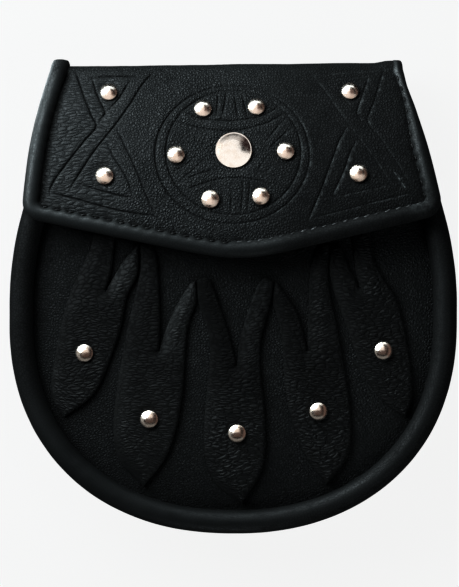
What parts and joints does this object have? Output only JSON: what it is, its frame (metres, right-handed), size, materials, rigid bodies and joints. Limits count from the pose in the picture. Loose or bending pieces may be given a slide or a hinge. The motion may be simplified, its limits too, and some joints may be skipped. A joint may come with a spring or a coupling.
{
  "type": "sporran pouch",
  "caption": "Closed leather day sporran pouch with piped edges, a studded V-shaped flap, forked leather drops on its front and strap loops on its back.",
  "frame": {"origin": "on the surface that the pouch lies on, under the middle of its bounding box", "axes": "the pouch lies on its back: +Z out of its front, +Y to its flap's fold, +X to the right seen from the front"},
  "size_m": [0.1892, 0.2031, 0.0477],
  "materials": {
    "grained_leather": "black pebble-grained leather, satin",
    "roll_leather": "smooth black leather piping, satin",
    "nickel": "polished nickel plate"
  },
  "bodies": {
    "root": {"back_panel": "grained_leather", "gusset": "grained_leather", "front_panel": "grained_leather", "body_roll": "roll_leather", "flap": "grained_leather", "flap_roll": "roll_leather", "leaf_1": "grained_leather", "leaf_2": "grained_leather", "leaf_3": "grained_leather", "leaf_4": "grained_leather", "leaf_5": "grained_leather", "leaf_rivet_1": "nickel", "leaf_rivet_2": "nickel", "leaf_rivet_3": "nickel", "leaf_rivet_4": "nickel", "leaf_rivet_5": "nickel", "corner_rivet_1": "nickel", "corner_rivet_2": "nickel", "corner_rivet_3": "nickel", "corner_rivet_4": "nickel", "ring_rivet_1": "nickel", "ring_rivet_2": "nickel", "ring_rivet_3": "nickel", "ring_rivet_4": "nickel", "ring_rivet_5": "nickel", "ring_rivet_6": "nickel", "snap_cap": "nickel", "snap_stud": "nickel", "strap_loop_left": "grained_leather", "strap_loop_right": "grained_leather"}
  },
  "joints": []
}
